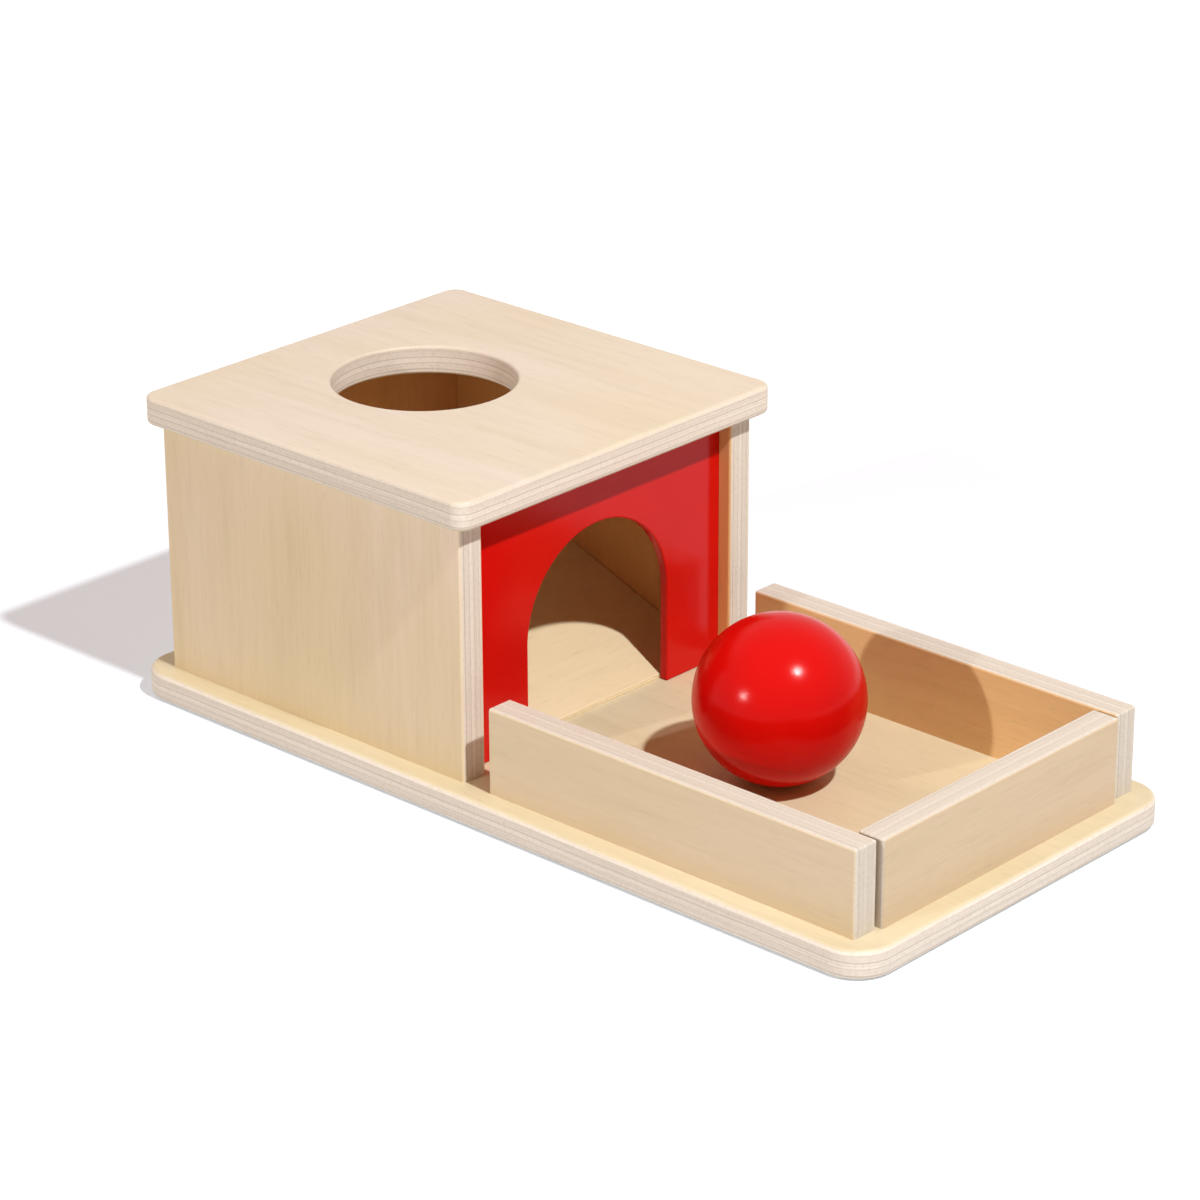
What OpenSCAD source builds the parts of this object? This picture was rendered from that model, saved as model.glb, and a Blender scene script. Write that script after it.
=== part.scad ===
// Object permanence box: a birch plywood box with a drop hole in its lid, a red arched front
// and a walled tray. A ball dropped through the hole lands on a ramp and rolls out into the tray.
// Millimetres. +X points from the box to the tray's end, +Z is up, and the origin is under the
// middle of the base board. Left and right are as seen from the tray's end, so left is -Y.

/* [Base board] */
// Thickness of the base board
base_t = 9; // [6:0.5:15]
// Base left showing behind the box
base_back_margin = 10; // [4:0.5:30]
// Base left showing in front of the tray's side walls
base_front_margin = 9; // [4:0.5:30]
// Base left showing along each side
base_side_margin = 7; // [4:0.5:25]
// Radius of the base's four corners
base_corner_r = 12; // [2:0.5:16]

/* [Box panels] */
// Length of the side panels, from the back of the box to its front
box_l = 123; // [105:1:180]
// Width of the box and of the tray, over the outsides of their walls
box_w = 124; // [105:1:180]
// Height of the side and back panels
box_h = 79; // [72:1:120]
// Thickness of the side panels
side_t = 9; // [7:0.5:15]
// Thickness of the back panel
back_t = 9; // [7:0.5:15]

/* [Lid] */
// Thickness of the lid
lid_t = 9; // [8:0.5:15]
// Overhang of the lid past the side panels
lid_side_overhang = 4.5; // [1:0.5:12]
// Overhang of the lid past the back of the box
lid_back_overhang = 4.5; // [1:0.5:12]
// Overhang of the lid past the front of the box
lid_front_overhang = 5.5; // [1:0.5:15]
// Radius of the lid's four corners
lid_corner_r = 5; // [1:0.5:10]
// Distance of the drop hole behind the middle of the lid
hole_set_back = 14; // [0:1:20]
// Room between the ball and the rim of the drop hole, all round
hole_clearance = 3; // [1:0.5:8]

/* [Arch panel] */
// Thickness of the arch panel
arch_panel_t = 3; // [2:0.5:6]
// How far the arch panel stands behind the front edges of the side panels
arch_recess = 4.5; // [1:0.5:12]
// Room beside the ball in the archway, each side
arch_side_room = 5; // [2:0.5:10]
// Room above the ball in the archway
arch_head_room = 10.5; // [4:0.5:15]
// Depth of the grooves in the side panels that hold the arch panel
groove_depth = 3; // [1:0.5:5]
// Clearance of the arch panel in its grooves and under the lid
groove_clearance = 0.1; // [0.05:0.05:0.3]

/* [Ramp] */
// Thickness of the ramp board
ramp_t = 3; // [2:0.5:6]
// Slope of the ramp in degrees
ramp_angle = 20.5; // [12:0.5:21]
// Height of the ramp's front edge above the base
ramp_nose = 1.5; // [1:0.5:3]
// Clearance between the ramp board and the panels round it
ramp_clearance = 0.3; // [0.1:0.1:1]
// Depth of the cleat under the ramp's high edge
cleat_d = 9; // [5:0.5:15]
// Height of the cleat at the back panel
cleat_h = 15; // [8:0.5:16]

/* [Tray] */
// Gap between the box and the tray's side walls
tray_gap = 10; // [0:0.5:30]
// Length of the tray's side walls
tray_l = 134; // [120:1:220]
// Height of the tray's walls
tray_wall_h = 26.5; // [20:0.5:45]
// Thickness of the tray's side walls
tray_wall_t = 9; // [7:0.5:15]
// Thickness of the end wall
end_wall_t = 9; // [7:0.5:15]
// How far the end wall stands proud of the side walls' ends
end_wall_proud = 1.5; // [0:0.5:3]
// Gap between the end wall and each side wall
end_wall_gap = 1; // [0.5:0.5:3]

/* [Ball] */
// Diameter of the ball
ball_d = 50; // [46:1:52]
// Distance of the ball from the end wall as it lies in the tray
ball_to_end = 46.5; // [1:0.5:60]
// Running clearance between the ball and the base
ball_clearance = 0.3; // [0.1:0.1:0.5]

/* [Fasteners] */
// Diameter of the wood screws that hold the walls to the base
screw_d = 3; // [2.5:0.5:4]
// Length of the wood screws
screw_l = 24; // [18:1:28]
// Diameter of the screws' countersunk heads
screw_head_d = 6; // [5:0.5:7.5]
// How deep the screw heads are sunk below the underside of the base
screw_sink = 0.5; // [0.2:0.1:1]
// Distance of the screws from the ends of the boards that they hold
screw_inset = 25; // [15:1:35]
// Diameter of the dowels that hold the lid
dowel_d = 5; // [4:0.5:6]
// Length of the dowels
dowel_l = 17; // [12:1:24]
// How far the dowels reach up into the lid
dowel_in_lid = 5.5; // [3:0.5:6]
// Distance of the dowels from the ends of the panels
dowel_inset = 25; // [15:1:35]
// Clearance of the screws and dowels in their holes
fit_gap = 0.05; // [0.02:0.01:0.1]
// Room past the end of a screw or dowel in its hole
end_room = 0.5; // [0.2:0.1:1]

/* [Hidden] */
$fn = 96;

// Cuts run this far past the faces that they open
overrun = 1;

// Places along X, from the back of the base to its front
base_l = base_back_margin + box_l + tray_gap + tray_l + base_front_margin;
base_w = box_w + 2 * base_side_margin;
box_x0 = -base_l / 2 + base_back_margin;
box_x1 = box_x0 + box_l;
arch_x1 = box_x1 - arch_recess;
arch_x0 = arch_x1 - arch_panel_t;
tray_x0 = box_x1 + tray_gap;
tray_x1 = tray_x0 + tray_l;
end_wall_x1 = tray_x1 + end_wall_proud;
end_wall_x0 = end_wall_x1 - end_wall_t;

// Inside of the box
inner_w = box_w - 2 * side_t;
inner_x0 = box_x0 + back_t;
lid_z = base_t + box_h;

// Lid and its drop hole
lid_l = lid_back_overhang + box_l + lid_front_overhang;
lid_w = box_w + 2 * lid_side_overhang;
lid_x = box_x0 - lid_back_overhang + lid_l / 2;
hole_x = lid_x - hole_set_back;
hole_d = ball_d + 2 * hole_clearance;

// Arch panel, let into a groove in each side panel
arch_w = ball_d + 2 * arch_side_room;
arch_spring = ball_d + arch_head_room - arch_w / 2;
arch_panel_w = inner_w + 2 * (groove_depth - groove_clearance);
arch_panel_h = box_h - groove_clearance;

// Ramp: the top runs up from the nose at ramp_x1 to the back panel at ramp_x0
ramp_x1 = arch_x0 - ramp_clearance;
ramp_x0 = inner_x0 + ramp_clearance;
ramp_w = inner_w - 2 * ramp_clearance;
ramp_rise = ramp_t / cos(ramp_angle);
ramp_heel_x = ramp_x1 - (ramp_rise - ramp_nose) / tan(ramp_angle);
function ramp_top(x) = base_t + ramp_nose + (ramp_x1 - x) * tan(ramp_angle);
function ramp_under(x) = ramp_top(x) - ramp_rise;

// Tray walls stand flush with the box's sides, and the end wall stands between them
end_wall_w = box_w - 2 * tray_wall_t - 2 * end_wall_gap;

// Ball as it lies in the tray
ball_x = end_wall_x0 - ball_to_end - ball_d / 2;
ball_z = base_t + ball_clearance + ball_d / 2;

// Screws: one pair under each board that stands on the base, on the board's middle line
screw_tip_l = 2 * screw_d;
screw_point_d = 0.2 * screw_d;
screw_head_h = (screw_head_d - screw_d) / 2;
recess_l = 0.6 * screw_head_d;
recess_w = 0.15 * screw_head_d;
recess_depth = 0.6 * screw_head_h;
side_y = box_w / 2 - side_t / 2;
tray_y = box_w / 2 - tray_wall_t / 2;
back_x = box_x0 + back_t / 2;
end_x = end_wall_x0 + end_wall_t / 2;
side_screws = [for (x = [box_x0 + screw_inset, box_x1 - screw_inset]) [x, -side_y]];
tray_screws = [for (x = [tray_x0 + screw_inset, tray_x1 - screw_inset]) [x, -tray_y]];
back_screws = [for (s = [-1, 1]) [back_x, s * (inner_w / 2 - screw_inset)]];
end_screws = [for (s = [-1, 1]) [end_x, s * (end_wall_w / 2 - screw_inset)]];

// Dowels: one pair in the top edge of each panel that carries the lid
dowel_ease = 0.1 * dowel_d;
side_dowels = [for (x = [box_x0 + dowel_inset, box_x1 - dowel_inset]) [x, -side_y]];
back_dowels = [for (s = [-1, 1]) [back_x, s * (inner_w / 2 - dowel_inset)]];

// Finishes
birch = "#e6cfa9";
red_lacquer = "#d0160f";
beech = "#cfa877";
zinc = "#b9bcc0";

// Flat board with rounded corners, its underside at z = 0
module rounded_board(l, w, t, r) {
    linear_extrude(t) {
        square([l, w - 2 * r], center = true);
        square([l - 2 * r, w], center = true);
        for (x = [-1, 1], y = [-1, 1])
            translate([x * (l / 2 - r), y * (w / 2 - r)])
                circle(r);
    }
}

// Upright outline in the X and Z directions, drawn across the width w
module across(w) {
    rotate([90, 0, 0])
        linear_extrude(w, center = true)
            children();
}

// Repeats a shape at each place in a list of [x, y], at height z
module at_each(places, z) {
    for (p = places)
        translate([p[0], p[1], z])
            children();
}

// Mirrors a left-hand piece to the right-hand side
module right_hand() {
    mirror([0, 1, 0])
        children();
}

// Countersunk wood screw pointing up, its head's face at z = 0
module wood_screw() {
    difference() {
        rotate_extrude()
            polygon([[0, 0], [screw_head_d / 2, 0], [screw_d / 2, screw_head_h],
                     [screw_d / 2, screw_l - screw_tip_l], [screw_point_d / 2, screw_l], [0, screw_l]]);
        for (a = [0, 90])
            rotate(a)
                cube([recess_l, recess_w, 2 * recess_depth], center = true);
    }
}

// Countersunk hole that a wood screw sits in
module screw_hole() {
    head_r = screw_head_d / 2 + fit_gap;
    shank_r = screw_d / 2 + fit_gap;
    mouth = -screw_sink - overrun;
    foot = screw_l + end_room;
    rotate_extrude()
        polygon([[0, mouth], [head_r, mouth], [head_r, 0], [shank_r, screw_head_h], [shank_r, foot], [0, foot]]);
}

// Glue dowel with eased ends, z = 0 at the underside of the lid
module dowel() {
    r = dowel_d / 2;
    top = dowel_in_lid;
    foot = dowel_in_lid - dowel_l;
    rotate_extrude()
        polygon([[0, foot], [r - dowel_ease, foot], [r, foot + dowel_ease],
                 [r, top - dowel_ease], [r - dowel_ease, top], [0, top]]);
}

// Hole that a dowel sits in, half of it in the lid
module dowel_hole() {
    translate([0, 0, dowel_in_lid - dowel_l - end_room])
        cylinder(h = dowel_l + 2 * end_room, d = dowel_d + 2 * fit_gap);
}

// Base board with the screws' countersunk holes
module base_board() {
    color(birch)
        difference() {
            rounded_board(base_l, base_w, base_t, base_corner_r);
            at_each(concat(side_screws, tray_screws, back_screws, end_screws), screw_sink)
                screw_hole();
            right_hand()
                at_each(concat(side_screws, tray_screws), screw_sink)
                    screw_hole();
        }
}

// Side panel with its groove for the arch panel, its screw holes and its dowel holes
module left_side_panel() {
    groove_w = arch_panel_t + 2 * groove_clearance;
    color(birch)
        difference() {
            translate([box_x0, -box_w / 2, base_t])
                cube([box_l, side_t, box_h]);
            translate([arch_x0 - groove_clearance, -inner_w / 2 - groove_depth, base_t - overrun])
                cube([groove_w, groove_depth + overrun, box_h + 2 * overrun]);
            at_each(side_screws, screw_sink)
                screw_hole();
            at_each(side_dowels, lid_z)
                dowel_hole();
        }
}

module right_side_panel() {
    right_hand()
        left_side_panel();
}

// Back panel, held between the side panels
module back_panel() {
    color(birch)
        difference() {
            translate([box_x0, -inner_w / 2, base_t])
                cube([back_t, inner_w, box_h]);
            at_each(back_screws, screw_sink)
                screw_hole();
            at_each(back_dowels, lid_z)
                dowel_hole();
        }
}

// Thin red front with a round-topped archway, let into the side panels' grooves
module arch_panel() {
    color(red_lacquer)
        translate([arch_x0, 0, base_t])
            rotate([90, 0, 90])
                linear_extrude(arch_panel_t)
                    difference() {
                        translate([-arch_panel_w / 2, 0])
                            square([arch_panel_w, arch_panel_h]);
                        translate([-arch_w / 2, -overrun])
                            square([arch_w, arch_spring + overrun]);
                        translate([0, arch_spring])
                            circle(d = arch_w);
                    }
}

// Ramp board: its foot lies flat on the base and its high edge lies on the cleat
module ramp_board() {
    color(birch)
        across(ramp_w)
            polygon([[ramp_heel_x, base_t], [ramp_x1, base_t], [ramp_x1, ramp_top(ramp_x1)],
                     [ramp_x0, ramp_top(ramp_x0)], [ramp_x0, ramp_under(ramp_x0)]]);
}

// Cleat glued to the back panel, its top cut to the ramp's slope
module ramp_cleat() {
    x1 = inner_x0 + cleat_d;
    foot = ramp_under(inner_x0) - cleat_h;
    color(beech)
        across(ramp_w)
            polygon([[inner_x0, foot], [x1, foot], [x1, ramp_under(x1)], [inner_x0, ramp_under(inner_x0)]]);
}

// Lid with the drop hole, and blind dowel holes in its underside
module lid() {
    color(birch)
        difference() {
            translate([lid_x, 0, lid_z])
                rounded_board(lid_l, lid_w, lid_t, lid_corner_r);
            translate([hole_x, 0, lid_z - overrun])
                cylinder(h = lid_t + 2 * overrun, d = hole_d);
            at_each(concat(side_dowels, back_dowels), lid_z)
                dowel_hole();
            right_hand()
                at_each(side_dowels, lid_z)
                    dowel_hole();
        }
}

// Side wall of the tray
module left_tray_wall() {
    color(birch)
        difference() {
            translate([tray_x0, -box_w / 2, base_t])
                cube([tray_l, tray_wall_t, tray_wall_h]);
            at_each(tray_screws, screw_sink)
                screw_hole();
        }
}

module right_tray_wall() {
    right_hand()
        left_tray_wall();
}

// End wall of the tray, between the side walls and a little proud of their ends
module end_wall() {
    color(birch)
        difference() {
            translate([end_wall_x0, -end_wall_w / 2, base_t])
                cube([end_wall_t, end_wall_w, tray_wall_h]);
            at_each(end_screws, screw_sink)
                screw_hole();
        }
}

// Red ball, lying in the tray
module ball() {
    color(red_lacquer)
        translate([ball_x, 0, ball_z])
            sphere(d = ball_d);
}

// Pairs of screws, driven up through the base
module left_side_screws() {
    color(zinc)
        at_each(side_screws, screw_sink)
            wood_screw();
}

module right_side_screws() {
    right_hand()
        left_side_screws();
}

module back_panel_screws() {
    color(zinc)
        at_each(back_screws, screw_sink)
            wood_screw();
}

module left_tray_screws() {
    color(zinc)
        at_each(tray_screws, screw_sink)
            wood_screw();
}

module right_tray_screws() {
    right_hand()
        left_tray_screws();
}

module end_wall_screws() {
    color(zinc)
        at_each(end_screws, screw_sink)
            wood_screw();
}

// Pairs of glue dowels between the panels and the lid
module left_lid_dowels() {
    color(beech)
        at_each(side_dowels, lid_z)
            dowel();
}

module right_lid_dowels() {
    right_hand()
        left_lid_dowels();
}

module back_lid_dowels() {
    color(beech)
        at_each(back_dowels, lid_z)
            dowel();
}

base_board();
left_side_panel();
right_side_panel();
back_panel();
arch_panel();
ramp_board();
ramp_cleat();
lid();
left_tray_wall();
right_tray_wall();
end_wall();
ball();
left_side_screws();
right_side_screws();
back_panel_screws();
left_tray_screws();
right_tray_screws();
end_wall_screws();
left_lid_dowels();
right_lid_dowels();
back_lid_dowels();
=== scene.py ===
import math

import bmesh
import bpy
from mathutils import Matrix, Vector


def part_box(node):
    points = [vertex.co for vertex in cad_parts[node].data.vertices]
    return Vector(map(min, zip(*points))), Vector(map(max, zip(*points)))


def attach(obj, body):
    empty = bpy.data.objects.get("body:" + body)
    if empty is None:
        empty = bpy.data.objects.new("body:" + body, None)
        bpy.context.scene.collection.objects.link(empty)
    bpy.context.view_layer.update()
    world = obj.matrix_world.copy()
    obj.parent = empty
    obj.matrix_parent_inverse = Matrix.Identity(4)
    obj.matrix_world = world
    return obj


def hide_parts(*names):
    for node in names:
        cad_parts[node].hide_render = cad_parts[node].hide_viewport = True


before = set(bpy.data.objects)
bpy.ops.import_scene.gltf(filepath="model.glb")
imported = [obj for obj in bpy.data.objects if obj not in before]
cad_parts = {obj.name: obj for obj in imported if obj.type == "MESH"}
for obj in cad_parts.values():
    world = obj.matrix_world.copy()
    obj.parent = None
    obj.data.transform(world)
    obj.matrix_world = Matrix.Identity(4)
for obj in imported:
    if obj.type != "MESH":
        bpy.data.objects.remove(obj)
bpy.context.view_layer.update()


# Base board
# A long 9 mm birch plywood board that carries everything else. Its four corners are sawn round,
# its edges are sanded soft, and twelve screw holes are countersunk into its underside.

EASE_STEPS = 4
CORNER_STEPS = 16
SHARP = math.radians(40)


def ease(bm, edges, radius):
    """Sands the edges of a board round."""
    bmesh.ops.bevel(bm, geom=edges, offset=radius, offset_type="OFFSET", segments=EASE_STEPS,
                    profile=0.5, affect="EDGES", material=-1, clamp_overlap=True)


def sharp_edges(bm):
    return [e for e in bm.edges if len(e.link_faces) == 2 and e.calc_face_angle() > SHARP]


def sawn_block(lo, hi):
    """A square-edged block between two corners."""
    bm = bmesh.new()
    bmesh.ops.create_cube(bm, size=1.0)
    bmesh.ops.scale(bm, vec=hi - lo, verts=bm.verts)
    bmesh.ops.translate(bm, vec=(lo + hi) / 2, verts=bm.verts)
    return bm


def round_cornered_board(lo, hi, corner_radius, edge_radius):
    """A flat board with round corners and soft edges."""
    bm = sawn_block(lo, hi)
    uprights = [e for e in bm.edges if abs(e.verts[0].co.z - e.verts[1].co.z) > (hi.z - lo.z) / 2]
    bmesh.ops.bevel(bm, geom=uprights, offset=corner_radius, offset_type="OFFSET", segments=CORNER_STEPS,
                    profile=0.5, affect="EDGES", material=-1)
    ease(bm, sharp_edges(bm), edge_radius)
    return bm


def flat_face(bm, up):
    """The large level face on top of a board, or under it."""
    level = [f for f in bm.faces if f.normal.z * up > 0.99]
    return max(level, key=lambda f: f.calc_area())


def open_face(bm, face, rings):
    """Cuts rings of edges out of a flat face."""
    rim = list(face.edges)
    normal = face.normal.copy()
    bmesh.ops.delete(bm, geom=[face], context="FACES_ONLY")
    cut = [e for ring in rings for e in ring]
    bmesh.ops.triangle_fill(bm, use_beauty=True, use_dissolve=False, edges=rim + cut, normal=normal)


def ring_of_edges(bm, centre, radius, segments):
    made = bmesh.ops.create_circle(bm, cap_ends=False, radius=radius, segments=segments,
                                   matrix=Matrix.Translation(centre))
    return list({e for v in made["verts"] for e in v.link_edges})


def drawn_on(bm, ring, centre, rise, radius_ratio):
    """Draws a ring of edges upwards into the wall of a hole, and returns its new end."""
    grown = bmesh.ops.extrude_edge_only(bm, edges=ring)["geom"]
    verts = [g for g in grown if isinstance(g, bmesh.types.BMVert)]
    bmesh.ops.scale(bm, vec=(radius_ratio, radius_ratio, 1), space=Matrix.Translation(-centre), verts=verts)
    bmesh.ops.translate(bm, vec=(0, 0, rise), verts=verts)
    return [g for g in grown if isinstance(g, bmesh.types.BMEdge)
            and all(v in verts for v in g.verts)]


def set_in_place(name, bm, finish, node, body="box"):
    """Turns a shaped blank into the finished piece that stands for a node."""
    bmesh.ops.recalc_face_normals(bm, faces=bm.faces[:])
    for face in bm.faces:
        face.smooth = True
    for edge in sharp_edges(bm):
        edge.smooth = False
    mesh = bpy.data.meshes.new(name)
    bm.to_mesh(mesh)
    bm.free()
    mesh.materials.append(finish)
    piece = bpy.data.objects.new(name, mesh)
    bpy.context.scene.collection.objects.link(piece)
    even = piece.modifiers.new("even_faces", "WEIGHTED_NORMAL")
    even.keep_sharp = True
    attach(piece, body)
    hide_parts(node)
    return piece


def add_node(tree, kind, sockets=None, **settings):
    """Adds a shader node, with its settings and its inputs as values or links."""
    node = tree.nodes.new(kind)
    for key, value in settings.items():
        setattr(node, key, value)
    for key, value in (sockets or {}).items():
        if isinstance(value, bpy.types.NodeSocket):
            tree.links.new(value, node.inputs[key])
        else:
            node.inputs[key].default_value = value
    return node


def new_finish(name):
    material = bpy.data.materials.new(name)
    material.use_nodes = True
    material.node_tree.nodes.clear()
    return material, material.node_tree


def sums(tree, operation, a, b, clamp=False):
    return add_node(tree, "ShaderNodeMath", {0: a, 1: b}, operation=operation, use_clamp=clamp).outputs[0]


def spread(tree, value, low, high, to_low=0.0, to_high=1.0):
    """Stretches a value from one range to another, held at its ends."""
    node = add_node(tree, "ShaderNodeMapRange", {"Value": value, "From Min": low, "From Max": high,
                                                 "To Min": to_low, "To Max": to_high})
    return node.outputs["Result"]


def blended(tree, share, a, b, blend_type="MIX"):
    node = add_node(tree, "ShaderNodeMix", {0: share, 6: a, 7: b}, data_type="RGBA", blend_type=blend_type)
    return node.outputs[2]


def stretched_noise(tree, place, scale, detail, roughness=0.5, distortion=0.0):
    """Noise drawn out along the grain: scale holds its features per metre in X, Y and Z."""
    mapped = add_node(tree, "ShaderNodeMapping", {"Vector": place, "Scale": scale})
    node = add_node(tree, "ShaderNodeTexNoise", {"Vector": mapped.outputs[0], "Scale": 1.0, "Detail": detail,
                                                 "Roughness": roughness, "Distortion": distortion})
    return node.outputs["Fac"]


def along(axis, on_axis, off_axis):
    """A scale that differs on one axis."""
    return tuple(on_axis if i == axis else off_axis for i in range(3))


# Plies from face to face, as shares of the thickness: in a 9 mm board the face veneers, two cross plies
# and a core, and in a 3 mm board the veneers and one cross ply, with thin glue lines between them
FIVE_PLIES = (0.17, 0.40, 0.60, 0.83)
THREE_PLIES = (0.30, 0.83)
GLUE_LINE = 0.00022
FACE_VENEER = 0.0014
LONG_PLY = (0.77, 0.705, 0.62, 1)
CROSS_PLY = (0.72, 0.65, 0.57, 1)
GLUE = (0.44, 0.38, 0.32, 1)
GLUE_TONES = (1.0, 1.35, 1.15, 1.45)


def toned(colour, factor):
    return tuple(c * factor for c in colour[:3]) + (1,)


def tinted(colour, tint):
    return tuple(c * t for c, t in zip(colour[:3], tint)) + (1,)


def ply_layers(tree, depth, joints, glue_share, ply_tint):
    """The colour of each ply through the thickness of a board."""
    ramp = add_node(tree, "ShaderNodeValToRGB", {"Fac": depth})
    tones = [tinted((LONG_PLY, CROSS_PLY)[i % 2], ply_tint) for i in range(len(joints) + 1)]
    stops = [(0.0, tones[0])]
    for joint, before, after, strength in zip(joints, tones, tones[1:], GLUE_TONES):
        stops += [(joint - glue_share, before), (joint, toned(GLUE, strength)), (joint + glue_share, after)]
    stops.append((1.0, tones[-1]))
    elements = ramp.color_ramp.elements
    while len(elements) < len(stops):
        elements.new(0.5)
    for element, (position, tone) in zip(elements, stops):
        element.position = position
        element.color = tone
    return ramp.outputs["Color"]


def darkened(tree, colour, share, low, high, depth):
    """Darkens a colour by up to depth where a pattern rises from low to high."""
    return blended(tree, 1.0, colour, spread(tree, share, low, high, 1.0, 1.0 - depth), "MULTIPLY")


# Features of the veneer per metre, along and across the grain, and of the edges, through and along the plies
DRIFT = (8, 14)
BANDS = (6, 62)
STREAKS = (26, 360)
FIBRE = (60, 1300)
PORES = (150, 1500)
PLY_WANDER = (40, 26)
PLY_LINES = (2600, 16)
END_GRAIN = (900, 900, 900)

# The inner faces of the box and the tray take warmer, deeper tones: painted shade and warm bounce light
# inside them
TRAY_INNER_SHADE_TONES = ((0.74, 0.505, 0.255, 1), (0.71, 0.455, 0.21, 1))
BOX_INNER_SHADE_TONES = ((0.80, 0.50, 0.23, 1), (0.77, 0.455, 0.19, 1))


def birch_plywood(name, lo, hi, thickness, grain, pale, warm, seed, joints=FIVE_PLIES, tilt=0.0, inner=0,
                  inner_shade_tones=BOX_INNER_SHADE_TONES, veneer=FACE_VENEER, ply_tint=(1, 1, 1)):
    """Sanded birch plywood under a clear satin lacquer. The veneers lie square to the thickness axis
    with their grain along the grain axis, and the plies between them show on the edges. Inner is the
    sign of the side that faces into the box or tray, which is painted in the warmer, deeper inner tones as
    painted shade and bounce light, or 0 where both sides are alike. Veneer is how far the face's own colour
    reaches into the edges, and ply_tint sets one sheet's plies off from another's, and on the ramp
    brightens them as a painted highlight on its lit front edge."""
    material, tree = new_finish(name)
    board = hi[thickness] - lo[thickness]
    place = add_node(tree, "ShaderNodeTexCoord").outputs["Object"]
    place = add_node(tree, "ShaderNodeMapping", {"Vector": place, "Rotation": (0, tilt, 0)}).outputs[0]
    own = add_node(tree, "ShaderNodeMapping", {
        "Vector": place, "Location": (seed * 0.37, seed * 0.61, seed * 0.23)}).outputs[0]
    axis_value = add_node(tree, "ShaderNodeSeparateXYZ", {"Vector": place}).outputs[thickness]
    depth = spread(tree, axis_value, lo[thickness], hi[thickness])
    # The inner side is painted in the warmer inner tones: painted shade and bounce light inside the box or
    # tray
    if inner:
        inner_shade_share = spread(tree, depth, 0.45, 0.55, (1 - inner) / 2, (1 + inner) / 2)
        pale = blended(tree, inner_shade_share, pale, inner_shade_tones[0])
        warm = blended(tree, inner_shade_share, warm, inner_shade_tones[1])

    # Rotary-cut veneer: slow drifts of tone, soft bands and fine streaks along the grain, a few pores
    drift = stretched_noise(tree, own, along(grain, *DRIFT), 2.0)
    bands = stretched_noise(tree, own, along(grain, *BANDS), 2.5, distortion=0.4)
    streaks = stretched_noise(tree, own, along(grain, *STREAKS), 3.0, 0.6)
    fibre = stretched_noise(tree, own, along(grain, *FIBRE), 3.0, 0.6)
    pores = spread(tree, stretched_noise(tree, own, along(grain, *PORES), 1.0), 0.62, 0.74)
    tone = blended(tree, spread(tree, drift, 0.36, 0.64), pale, warm)
    tone = blended(tree, spread(tree, bands, 0.46, 0.72, 0.0, 0.75), tone, warm)
    tone = darkened(tree, tone, bands, 0.46, 0.72, 0.04)
    tone = darkened(tree, tone, streaks, 0.50, 0.75, 0.05)
    tone = darkened(tree, tone, pores, 0.0, 1.0, 0.07)

    # Plies on the edges, which wander a little, with fine lines along them and the end grain's speckle
    wander = stretched_noise(tree, own, along(thickness, *PLY_WANDER), 2.0)
    wavy = sums(tree, "ADD", depth, spread(tree, wander, 0.25, 0.75, -0.020, 0.020))
    plies = ply_layers(tree, wavy, joints, GLUE_LINE / board, ply_tint)
    lines = stretched_noise(tree, own, along(thickness, *PLY_LINES), 2.0, 0.6)
    plies = blended(tree, spread(tree, lines, 0.45, 0.75, 0.0, 0.55), plies, toned(GLUE, 1.25))
    speckle = stretched_noise(tree, own, END_GRAIN, 2.0, 0.7)
    plies = blended(tree, spread(tree, speckle, 0.45, 0.80, 0.0, 0.35), plies, GLUE)
    inside = sums(tree, "MINIMUM", depth, sums(tree, "SUBTRACT", 1.0, depth))
    on_edge = spread(tree, inside, 0.15 * veneer / board, veneer / board)
    tone = blended(tree, on_edge, tone, plies)

    # Fibre lightens and darkens the whole board a little and lifts its surface
    tone = blended(tree, 0.16, tone, spread(tree, fibre, 0.3, 0.7, 0.42, 0.60), "OVERLAY")
    height = sums(tree, "SUBTRACT", fibre, sums(tree, "MULTIPLY", pores, 0.8))
    bump = add_node(tree, "ShaderNodeBump", {"Height": height, "Strength": 0.20, "Distance": 0.00010})
    satin = spread(tree, streaks, 0.3, 0.7, 0.42, 0.52)
    roughness = sums(tree, "ADD", satin, sums(tree, "MULTIPLY", on_edge, 0.10))
    shader = add_node(tree, "ShaderNodeBsdfPrincipled", {
        "Base Color": tone, "Roughness": roughness, "Specular IOR Level": 0.35, "Normal": bump.outputs[0]})
    add_node(tree, "ShaderNodeOutputMaterial", {"Surface": shader.outputs[0]})
    return material


X, Y, Z = range(3)
BASE_CORNER = 0.012
BASE_EDGE = 0.0018
SCREW_HEAD = 0.003
SCREW_SHANK = 0.0015
SCREW_GAP = 0.00005
SCREW_SINK = 0.0005
MOUTH_STEPS = 32
SCREW_GROUPS = ("left_side_screws", "right_side_screws", "back_panel_screws",
                "left_tray_screws", "right_tray_screws", "end_wall_screws")


def screw_places(group):
    """Middles of the two screws of a pair, from the box that holds both."""
    lo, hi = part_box(group)
    inset = Vector((SCREW_HEAD, SCREW_HEAD, 0))
    return [lo + inset, hi - inset]


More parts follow.
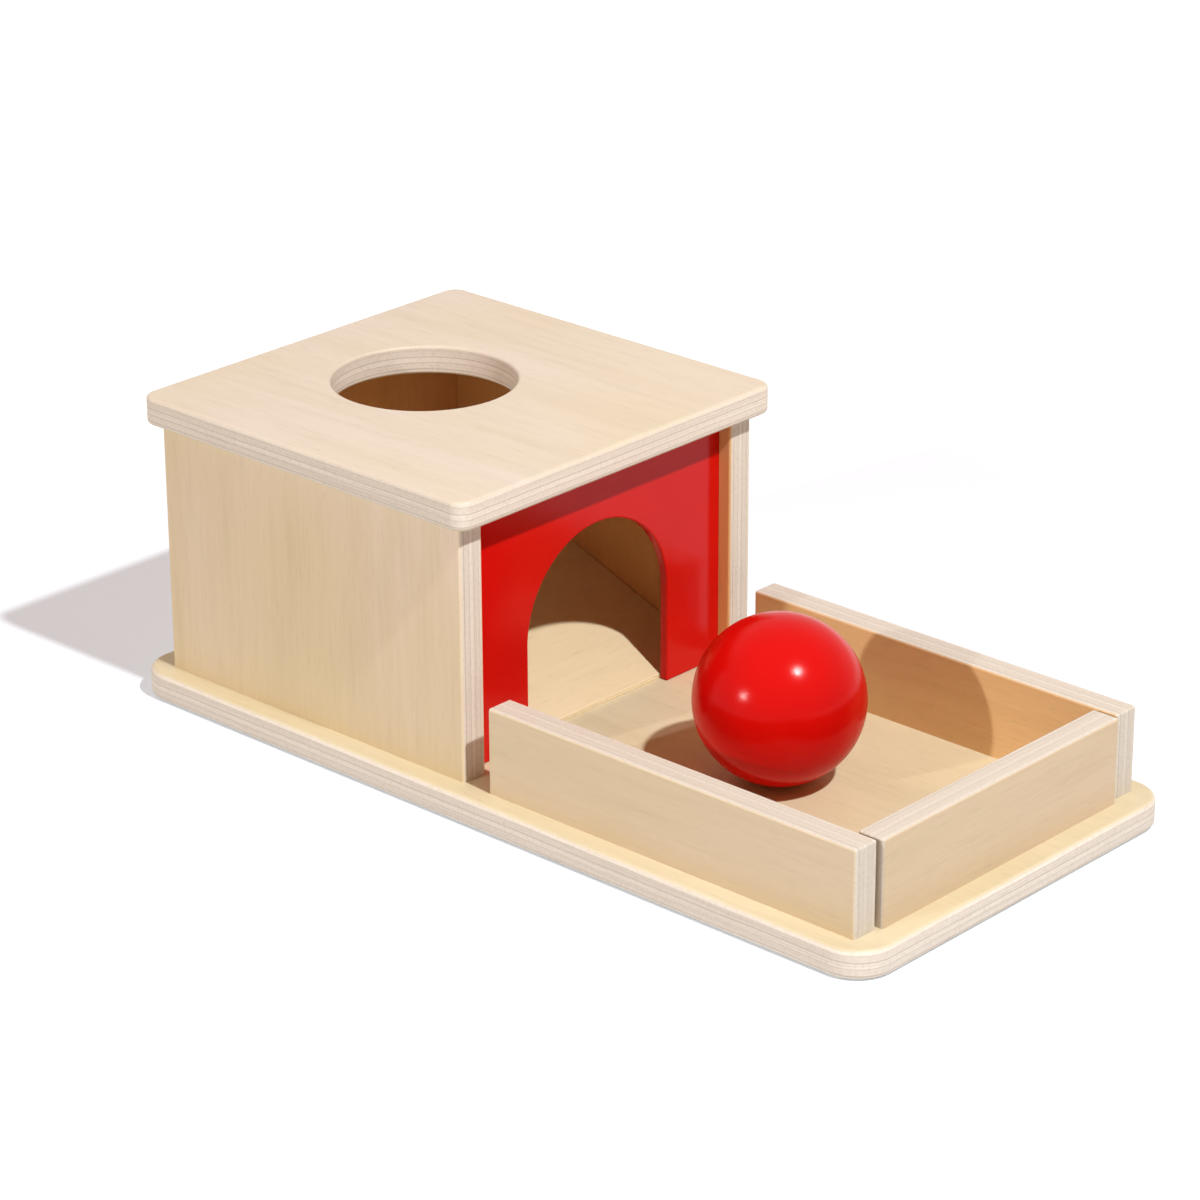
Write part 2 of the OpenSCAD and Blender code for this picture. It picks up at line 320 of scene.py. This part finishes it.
base_lo, base_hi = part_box("base_board")
base = round_cornered_board(base_lo, base_hi, BASE_CORNER, BASE_EDGE)
mouths = []
for group in SCREW_GROUPS:
    for place in screw_places(group):
        centre = Vector((place.x, place.y, base_lo.z))
        mouths.append((centre, ring_of_edges(base, centre, SCREW_HEAD + SCREW_GAP, MOUTH_STEPS)))
open_face(base, flat_face(base, -1), [ring for _, ring in mouths])
for centre, ring in mouths:
    ring = drawn_on(base, ring, centre, SCREW_SINK, 1.0)
    shank_ratio = (SCREW_SHANK + SCREW_GAP) / (SCREW_HEAD + SCREW_GAP)
    ring = drawn_on(base, ring, centre, SCREW_HEAD - SCREW_SHANK, shank_ratio)
    ring = drawn_on(base, ring, centre, base_hi.z - base_lo.z - 2 * SCREW_HEAD, 1.0)
    bmesh.ops.edgeloop_fill(base, edges=ring)
BASE_PALE = (0.672, 0.59, 0.415, 1)
BASE_WARM = (0.643, 0.555, 0.365, 1)
BASE_VENEER = 0.0009
BASE_PLY_TINT = (1.05, 1.06, 1.08)
base_ply = birch_plywood("base_plywood", base_lo, base_hi, Z, X, BASE_PALE, BASE_WARM, 1,
                         veneer=BASE_VENEER, ply_tint=BASE_PLY_TINT)
set_in_place("base", base, base_ply, "base_board")


# Screws
# Zinc-plated countersunk wood screws, two under each upright board, driven up through the base.
# They are used as they come, with a fine scuffed plating.

BRIGHT_ZINC = (0.66, 0.67, 0.69, 1)
DULL_ZINC = (0.52, 0.53, 0.52, 1)
zinc, tree = new_finish("zinc_plating")
place = add_node(tree, "ShaderNodeTexCoord").outputs["Object"]
scuffs = stretched_noise(tree, place, (900, 900, 250), 3.0, 0.6)
tarnish = stretched_noise(tree, place, (260, 260, 260), 2.0)
plate = blended(tree, spread(tree, tarnish, 0.4, 0.7), BRIGHT_ZINC, DULL_ZINC)
bump = add_node(tree, "ShaderNodeBump", {"Height": scuffs, "Strength": 0.2, "Distance": 0.00005})
shader = add_node(tree, "ShaderNodeBsdfPrincipled", {
    "Base Color": plate, "Metallic": 1.0, "Roughness": spread(tree, scuffs, 0.3, 0.7, 0.25, 0.42),
    "Normal": bump.outputs[0]})
add_node(tree, "ShaderNodeOutputMaterial", {"Surface": shader.outputs[0]})
for group in SCREW_GROUPS:
    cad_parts[group].material_slots[0].material = zinc


# Side panels
# Two 9 mm plywood panels that stand on the base with their veneer's grain upright. A groove down the
# inside of each, near its front edge, takes the thin arch panel.

PANEL_EDGE = 0.0008
PANEL_VENEER = 0.0009
GROOVE_DEPTH = 0.003
GROOVE_GAP = 0.0001
PANEL_PALE = (0.78, 0.635, 0.485, 1)
PANEL_WARM = (0.73, 0.595, 0.375, 1)


def swept_outline(points, sweep):
    """A flat outline drawn out into a solid."""
    bm = bmesh.new()
    face = bm.faces.new([bm.verts.new(p) for p in points])
    grown = bmesh.ops.extrude_face_region(bm, geom=[face])["geom"]
    bmesh.ops.translate(bm, vec=sweep, verts=[g for g in grown if isinstance(g, bmesh.types.BMVert)])
    bmesh.ops.recalc_face_normals(bm, faces=bm.faces[:])
    return bm


def upright_edges(bm):
    """Edges that run straight up: a panel is left square where it stands on the base and under the lid."""
    return [e for e in sharp_edges(bm) if abs((e.verts[0].co - e.verts[1].co).normalized().z) > 0.9]


def side_panel(node, inner_sign):
    """A side panel, with its groove on the side that inner_sign gives."""
    lo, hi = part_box(node)
    arch_lo, arch_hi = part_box("arch_panel")
    outer, inner = (lo.y, hi.y) if inner_sign > 0 else (hi.y, lo.y)
    floor_of_groove = inner - inner_sign * GROOVE_DEPTH
    back_wall, front_wall = arch_lo.x - GROOVE_GAP, arch_hi.x + GROOVE_GAP
    plan = [(lo.x, outer), (hi.x, outer), (hi.x, inner), (front_wall, inner), (front_wall, floor_of_groove),
            (back_wall, floor_of_groove), (back_wall, inner), (lo.x, inner)]
    bm = swept_outline([(x, y, lo.z) for x, y in plan], Vector((0, 0, hi.z - lo.z)))

    def outside_groove(edge):
        return not all(back_wall - GROOVE_GAP < v.co.x < front_wall + GROOVE_GAP for v in edge.verts)

    ease(bm, [e for e in upright_edges(bm) if outside_groove(e)], PANEL_EDGE)
    return bm, lo, hi


for node, name, inner_sign, seed in (("left_side_panel", "left_side", 1, 2),
                                     ("right_side_panel", "right_side", -1, 3)):
    panel, lo, hi = side_panel(node, inner_sign)
    finish = birch_plywood(name + "_plywood", lo, hi, Y, Z, PANEL_PALE, PANEL_WARM, seed, inner=inner_sign,
                           veneer=PANEL_VENEER)
    set_in_place(name, panel, finish, node)


# Back panel
# A 9 mm plywood panel that stands on the base between the side panels, flush with their back edges.
# Two screws from below and the lid's dowels hold it, and its inside carries the ramp's cleat.

BACK_EDGE = 0.0004
back_lo, back_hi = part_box("back_panel")
back_blank = sawn_block(back_lo, back_hi)
ease(back_blank, upright_edges(back_blank), BACK_EDGE)
back_ply = birch_plywood("back_plywood", back_lo, back_hi, X, Z, PANEL_PALE, PANEL_WARM, 4, inner=1,
                         veneer=PANEL_VENEER)
set_in_place("back", back_blank, back_ply, "back_panel")


# Arch panel
# A 3 mm board with a round-topped archway, sprayed with glossy red lacquer on all sides. It slides down
# the side panels' grooves before the lid goes on.

ARCH_EDGE = 0.0006
ARCH_HALF = 0.030
ARCH_SPRING = 0.0305
ARCH_STEPS = 64
COAT_ROUGHNESS = 0.17
COAT_IOR = 1.25
CLOUDS = (35, 35, 35)
ORANGE_PEEL = (2400, 2400, 2400)
WOOD_BELOW = (60, 500, 500)


def red_lacquer(name, deep, peel, gloss, shine, coat, seed):
    """Glossy red lacquer: an even coat with a trace of orange peel and of the wood under it."""
    material, tree = new_finish(name)
    place = add_node(tree, "ShaderNodeTexCoord").outputs["Object"]
    own = add_node(tree, "ShaderNodeMapping", {
        "Vector": place, "Location": (seed, seed * 0.5, seed * 0.7)}).outputs[0]
    cloud = stretched_noise(tree, own, CLOUDS, 2.0)
    tone = blended(tree, spread(tree, cloud, 0.35, 0.65), deep, toned(deep, 0.93))
    peel_height = stretched_noise(tree, own, ORANGE_PEEL, 2.0)
    telegraph = stretched_noise(tree, own, WOOD_BELOW, 2.0)
    height = sums(tree, "ADD", peel_height, sums(tree, "MULTIPLY", telegraph, 0.5))
    bump = add_node(tree, "ShaderNodeBump", {"Height": height, "Strength": peel, "Distance": 0.00008})
    shader = add_node(tree, "ShaderNodeBsdfPrincipled", {
        "Base Color": tone, "Roughness": spread(tree, cloud, 0.3, 0.7, gloss, gloss + 0.05),
        "Specular IOR Level": shine, "Coat Weight": coat, "Coat Roughness": COAT_ROUGHNESS,
        "Coat IOR": COAT_IOR, "Normal": bump.outputs[0], "Coat Normal": bump.outputs[0]})
    add_node(tree, "ShaderNodeOutputMaterial", {"Surface": shader.outputs[0]})
    return material


arch_lo, arch_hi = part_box("arch_panel")
arch = bmesh.new()
spring_z = arch_lo.z + ARCH_SPRING
right_spring = arch.verts.new((arch_lo.x, ARCH_HALF, spring_z))
arc = bmesh.ops.spin(arch, geom=[right_spring], cent=(arch_lo.x, 0, spring_z), axis=(1, 0, 0),
                     angle=math.pi, steps=ARCH_STEPS)
left_spring = next(g for g in arc["geom_last"] if isinstance(g, bmesh.types.BMVert))
outer = [(-ARCH_HALF, arch_lo.z), (arch_lo.y, arch_lo.z), (arch_lo.y, arch_hi.z),
         (arch_hi.y, arch_hi.z), (arch_hi.y, arch_lo.z), (ARCH_HALF, arch_lo.z)]
path = [left_spring] + [arch.verts.new((arch_lo.x, y, z)) for y, z in outer] + [right_spring]
for a, b in zip(path, path[1:]):
    arch.edges.new((a, b))
arch_face = bmesh.ops.contextual_create(arch, geom=arch.edges[:])["faces"]
grown = bmesh.ops.extrude_face_region(arch, geom=arch_face)["geom"]
bmesh.ops.translate(arch, vec=(arch_hi.x - arch_lo.x, 0, 0),
                    verts=[g for g in grown if isinstance(g, bmesh.types.BMVert)])
bmesh.ops.recalc_face_normals(arch, faces=arch.faces[:])
ease(arch, sharp_edges(arch), ARCH_EDGE)
FRONT_RED = (0.61, 0.005, 0.003, 1)
front_finish = red_lacquer("red_front", FRONT_RED, peel=0.03, gloss=0.16, shine=0.18, coat=0.0, seed=1.3)
set_in_place("arch_front", arch, front_finish, "arch_panel")


# Ramp
# A 3 mm plywood board that slopes down from a cleat on the back panel to the archway. Its foot is
# planed flat to lie on the base and its front edge stands just behind the arch panel.

RAMP_NOSE = 0.0015
RAMP_THICKNESS = 0.003
RAMP_SLOPE = math.radians(20.5)
RAMP_EDGE = 0.0003
RAMP_VENEER = 0.0003
ramp_lo, ramp_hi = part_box("ramp_board")
rise = RAMP_THICKNESS / math.cos(RAMP_SLOPE)
heel = ramp_hi.x - (rise - RAMP_NOSE) / math.tan(RAMP_SLOPE)
profile = [(heel, ramp_lo.z), (ramp_hi.x, ramp_lo.z), (ramp_hi.x, ramp_lo.z + RAMP_NOSE),
           (ramp_lo.x, ramp_hi.z), (ramp_lo.x, ramp_hi.z - rise)]
ramp = swept_outline([(x, ramp_lo.y, z) for x, z in profile], Vector((0, ramp_hi.y - ramp_lo.y, 0)))
ease(ramp, sharp_edges(ramp), RAMP_EDGE)
RAMP_PALE = (0.765, 0.64, 0.44, 1)
RAMP_WARM = (0.74, 0.605, 0.39, 1)
# The ramp's plies are tinted brighter and yellower: a painted highlight on its lit front edge
RAMP_PLY_HIGHLIGHT = (1.22, 1.14, 0.80)
face_level = ramp_hi.x * math.sin(RAMP_SLOPE) + (ramp_lo.z + RAMP_NOSE) * math.cos(RAMP_SLOPE)
upper_face = Vector((0, 0, face_level))
lower_face = Vector((0, 0, face_level - RAMP_THICKNESS))
ramp_ply = birch_plywood("ramp_plywood", lower_face, upper_face, Z, Y, RAMP_PALE, RAMP_WARM, 5,
                         joints=THREE_PLIES, tilt=-RAMP_SLOPE, veneer=RAMP_VENEER, ply_tint=RAMP_PLY_HIGHLIGHT)
set_in_place("ramp", ramp, ramp_ply, "ramp_board")


# Cleat and dowels
# A beech batten glued to the back panel carries the ramp's high edge, and beech dowels join the lid to
# the panels. All of them are hidden once the lid is on.

PALE_BEECH = (0.66, 0.47, 0.29, 1)
DARK_BEECH = (0.56, 0.38, 0.22, 1)
BEECH_RAYS = (0.42, 0.27, 0.15, 1)
beech, tree = new_finish("plain_beech")
place = add_node(tree, "ShaderNodeTexCoord").outputs["Object"]
rays = spread(tree, stretched_noise(tree, place, (1200, 160, 500), 2.0), 0.6, 0.72)
streaks = stretched_noise(tree, place, (500, 12, 500), 3.0, 0.6)
tone = blended(tree, spread(tree, streaks, 0.35, 0.65), PALE_BEECH, DARK_BEECH)
tone = blended(tree, sums(tree, "MULTIPLY", rays, 0.5), tone, BEECH_RAYS)
bump = add_node(tree, "ShaderNodeBump", {"Height": streaks, "Strength": 0.25, "Distance": 0.0001})
shader = add_node(tree, "ShaderNodeBsdfPrincipled", {
    "Base Color": tone, "Roughness": spread(tree, streaks, 0.3, 0.7, 0.55, 0.68), "Normal": bump.outputs[0]})
add_node(tree, "ShaderNodeOutputMaterial", {"Surface": shader.outputs[0]})
for node in ("ramp_cleat", "left_lid_dowels", "right_lid_dowels", "back_lid_dowels"):
    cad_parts[node].material_slots[0].material = beech


# Lid
# A square 9 mm plywood board with round corners that overhangs the box all round. The drop hole is bored
# behind its middle, and all its edges, the hole's too, are sanded soft. It is glued on with dowels.

LID_CORNER = 0.005
LID_EDGE = 0.0014
HOLE_RADIUS = 0.028
HOLE_SET_BACK = 0.014
HOLE_EDGE = 0.0010
HOLE_STEPS = 128
lid_lo, lid_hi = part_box("lid")
lid = round_cornered_board(lid_lo, lid_hi, LID_CORNER, LID_EDGE)
hole_x = (lid_lo.x + lid_hi.x) / 2 - HOLE_SET_BACK
rims = []
for up, z in ((1, lid_hi.z), (-1, lid_lo.z)):
    rim = ring_of_edges(lid, Vector((hole_x, 0, z)), HOLE_RADIUS, HOLE_STEPS)
    open_face(lid, flat_face(lid, up), [rim])
    rims += rim
bmesh.ops.bridge_loops(lid, edges=rims)
bmesh.ops.recalc_face_normals(lid, faces=lid.faces[:])
ease(lid, rims, HOLE_EDGE)
LID_PALE = (0.695, 0.622, 0.555, 1)
LID_WARM = (0.675, 0.591, 0.452, 1)
LID_PLY_TINT = (1.06, 1.06, 1.06)
lid_ply = birch_plywood("lid_plywood", lid_lo, lid_hi, Z, X, LID_PALE, LID_WARM, 6, ply_tint=LID_PLY_TINT)
set_in_place("lid_board", lid, lid_ply, "lid")


# Tray walls
# Two low 9 mm plywood walls flush with the box's sides and an end wall between them, each screwed to the
# base by itself. The end wall stands a little proud of the side walls' ends.

WALL_EDGE = 0.0008
WALL_VENEER = 0.0004
WALL_PLY_TINT = (0.87, 0.89, 0.90)
WALL_PALE = (0.725, 0.59, 0.43, 1)
WALL_WARM = (0.70, 0.57, 0.37, 1)
# The end wall's tones are darker than the side walls' though it is the same plywood: painted shade on its
# outward face
END_SHADED_PALE = (0.635, 0.50, 0.36, 1)
END_SHADED_WARM = (0.615, 0.485, 0.315, 1)


def tray_wall(node, name, thickness, grain, pale, warm, seed, inner):
    """A low wall, square where it stands on the base and sanded along its other edges."""
    lo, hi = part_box(node)
    bm = sawn_block(lo, hi)
    ease(bm, [e for e in bm.edges if max(v.co.z for v in e.verts) > lo.z + WALL_EDGE], WALL_EDGE)
    finish = birch_plywood(name + "_plywood", lo, hi, thickness, grain, pale, warm, seed, inner=inner,
                           inner_shade_tones=TRAY_INNER_SHADE_TONES, veneer=WALL_VENEER, ply_tint=WALL_PLY_TINT)
    set_in_place(name, bm, finish, node)


tray_wall("left_tray_wall", "left_wall", Y, X, WALL_PALE, WALL_WARM, 7, 1)
tray_wall("right_tray_wall", "right_wall", Y, X, WALL_PALE, WALL_WARM, 8, -1)
tray_wall("end_wall", "tray_end", X, Y, END_SHADED_PALE, END_SHADED_WARM, 9, -1)


# Ball
# A 50 mm ball turned from wood and dipped in the same glossy red lacquer. It lies loose in the tray and
# rolls between the ramp's foot and the end wall.

BALL_RINGS = 96
BALL_STEPS = 192
ball_lo, ball_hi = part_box("ball")
ball_radius = (ball_hi.z - ball_lo.z) / 2
ball_middle = (ball_lo + ball_hi) / 2
ball = bmesh.new()
pole = ball.verts.new(ball_middle + Vector((0, 0, ball_radius)))
bmesh.ops.spin(ball, geom=[pole], cent=ball_middle, axis=(0, 1, 0), angle=math.pi, steps=BALL_RINGS)
bmesh.ops.spin(ball, geom=ball.verts[:] + ball.edges[:], cent=ball_middle, axis=(0, 0, 1),
               angle=2 * math.pi, steps=BALL_STEPS, use_merge=True)
bmesh.ops.remove_doubles(ball, verts=ball.verts[:], dist=1e-6)
BALL_RED = (0.60, 0.003, 0.002, 1)
ball_finish = red_lacquer("red_ball_lacquer", BALL_RED, peel=0.34, gloss=0.26, shine=0.0, coat=0.68, seed=2.1)
set_in_place("red_ball", ball, ball_finish, "ball", body="ball")


# Floor and light
# A white floor, an evenly white studio round it, a key light from over the tray's end and a weaker one
# from the left side. The floor lies a hair below the base, so that the two faces don't coincide.

FLOOR_SIZE = 6.0
FLOOR_GAP = 0.0001
floor_bm = bmesh.new()
bmesh.ops.create_grid(floor_bm, x_segments=1, y_segments=1, size=FLOOR_SIZE / 2)
bmesh.ops.translate(floor_bm, vec=(0, 0, -FLOOR_GAP), verts=floor_bm.verts)
floor_mesh = bpy.data.meshes.new("floor")
floor_bm.to_mesh(floor_mesh)
floor_bm.free()
floor = bpy.data.objects.new("floor", floor_mesh)
bpy.context.scene.collection.objects.link(floor)

FLOOR_WHITE = (0.65, 0.70, 0.74, 1)
FLOOR_GLOW = (0.325, 0.35, 0.40)
GLOW_START = 0.26
GLOW_FULL = 0.70
paper, tree = new_finish("studio_floor")
rays_seen = add_node(tree, "ShaderNodeLightPath")
matt = add_node(tree, "ShaderNodeBsdfDiffuse", {"Color": FLOOR_WHITE})
place = add_node(tree, "ShaderNodeTexCoord").outputs["Object"]
away = add_node(tree, "ShaderNodeVectorMath", {0: place}, operation="LENGTH").outputs["Value"]
tint = blended(tree, spread(tree, away, GLOW_START, GLOW_FULL), FLOOR_GLOW + (1,), (1, 1, 1, 1))
seen_in = sums(tree, "ADD", rays_seen.outputs["Is Glossy Ray"], rays_seen.outputs["Is Transmission Ray"])
seen = sums(tree, "ADD", rays_seen.outputs["Is Camera Ray"], seen_in, clamp=True)
glow = add_node(tree, "ShaderNodeEmission", {"Color": tint, "Strength": seen})
surface = add_node(tree, "ShaderNodeAddShader", {0: matt.outputs[0], 1: glow.outputs[0]})
add_node(tree, "ShaderNodeOutputMaterial", {"Surface": surface.outputs[0]})
floor_mesh.materials.append(paper)

FRONT_FILL = 0.19
CEILING_FILL = 0.38
FILL_RISE = (0.2, 0.8)
FILL_TINT = (1.0, 0.52, 0.24, 1)
BACKDROP_SIDE = Vector((-0.68, 0.73, 0))
BACKDROP_TOP = math.sin(math.radians(10))
BACKDROP_END = math.sin(math.radians(34))
BACKDROP_REACH = (-0.1, 0.9)
world = bpy.data.worlds.new("studio")
bpy.context.scene.world = world
world.use_nodes = True
tree = world.node_tree
tree.nodes.clear()
rays_seen = add_node(tree, "ShaderNodeLightPath")
direction = add_node(tree, "ShaderNodeTexCoord").outputs["Generated"]
height = add_node(tree, "ShaderNodeSeparateXYZ", {"Vector": direction}).outputs["Z"]
facing = add_node(tree, "ShaderNodeVectorMath", {0: direction, 1: BACKDROP_SIDE}, operation="DOT_PRODUCT")
backdrop = sums(tree, "MULTIPLY", spread(tree, height, BACKDROP_TOP, BACKDROP_END, 1.0, 0.0),
                spread(tree, facing.outputs["Value"], *BACKDROP_REACH))
fill = add_node(tree, "ShaderNodeBackground", {
    "Color": FILL_TINT, "Strength": spread(tree, height, *FILL_RISE, FRONT_FILL, CEILING_FILL)})
white = add_node(tree, "ShaderNodeBackground", {"Color": (1, 1, 1, 1), "Strength": 1.0})
seen_in = sums(tree, "ADD", rays_seen.outputs["Is Glossy Ray"], rays_seen.outputs["Is Transmission Ray"])
seen = sums(tree, "ADD", rays_seen.outputs["Is Camera Ray"], seen_in, clamp=True)
share = sums(tree, "MAXIMUM", seen, backdrop)
studio = add_node(tree, "ShaderNodeMixShader", {0: share, 1: fill.outputs[0], 2: white.outputs[0]})
add_node(tree, "ShaderNodeOutputWorld", {"Surface": studio.outputs[0]})

KEY_PLACE = (0.936, -0.140, 1.342)
KEY_POWER = 104.0
KEY_RADIUS = 0.030
KEY_TINT = (0.98, 1.0, 1.0)
key_data = bpy.data.lights.new("key_lamp", "POINT")
key_data.energy = KEY_POWER
key_data.shadow_soft_size = KEY_RADIUS
key_data.color = KEY_TINT
key_lamp = bpy.data.objects.new("key_lamp", key_data)
key_lamp.location = KEY_PLACE
bpy.context.scene.collection.objects.link(key_lamp)

SIDE_TOWARDS = Vector((-0.184, -0.929, 0.322))
SIDE_STRENGTH = 1.2
SIDE_ANGLE = math.radians(2)
SIDE_TINT = (1.0, 0.99, 0.97)
side_data = bpy.data.lights.new("side_lamp", "SUN")
side_data.energy = SIDE_STRENGTH
side_data.angle = SIDE_ANGLE
side_data.color = SIDE_TINT
side_lamp = bpy.data.objects.new("side_lamp", side_data)
side_lamp.rotation_euler = SIDE_TOWARDS.to_track_quat("Z", "Y").to_euler()
bpy.context.scene.collection.objects.link(side_lamp)


# Camera
# A long lens from above the left front corner, at the photograph's viewing angle. It looks at a point
# near the middle of the base, and is rolled by a quarter of a degree as the photograph is.

CAMERA_AZIMUTH = math.radians(42.746)
CAMERA_HEIGHT = math.radians(22.997)
CAMERA_ROLL = math.radians(-0.255)
CAMERA_DISTANCE = 1.27788
CAMERA_TARGET = Vector((-0.03926, 0.02726, 0.02934))
camera_data = bpy.data.cameras.new("camera")
camera_data.sensor_width = 36.0
camera_data.lens = 126.95
camera = bpy.data.objects.new("camera", camera_data)
bpy.context.scene.collection.objects.link(camera)
back = Vector((math.sin(CAMERA_AZIMUTH) * math.cos(CAMERA_HEIGHT),
               -math.cos(CAMERA_AZIMUTH) * math.cos(CAMERA_HEIGHT), math.sin(CAMERA_HEIGHT)))
right = Vector((math.cos(CAMERA_AZIMUTH), math.sin(CAMERA_AZIMUTH), 0))
upright = Matrix((right, back.cross(right), back)).transposed().to_4x4()
rolled = upright @ Matrix.Rotation(CAMERA_ROLL, 4, "Z")
camera.matrix_world = Matrix.Translation(CAMERA_TARGET + back * CAMERA_DISTANCE) @ rolled
bpy.context.scene.camera = camera
bpy.context.scene.view_settings.view_transform = "Standard"
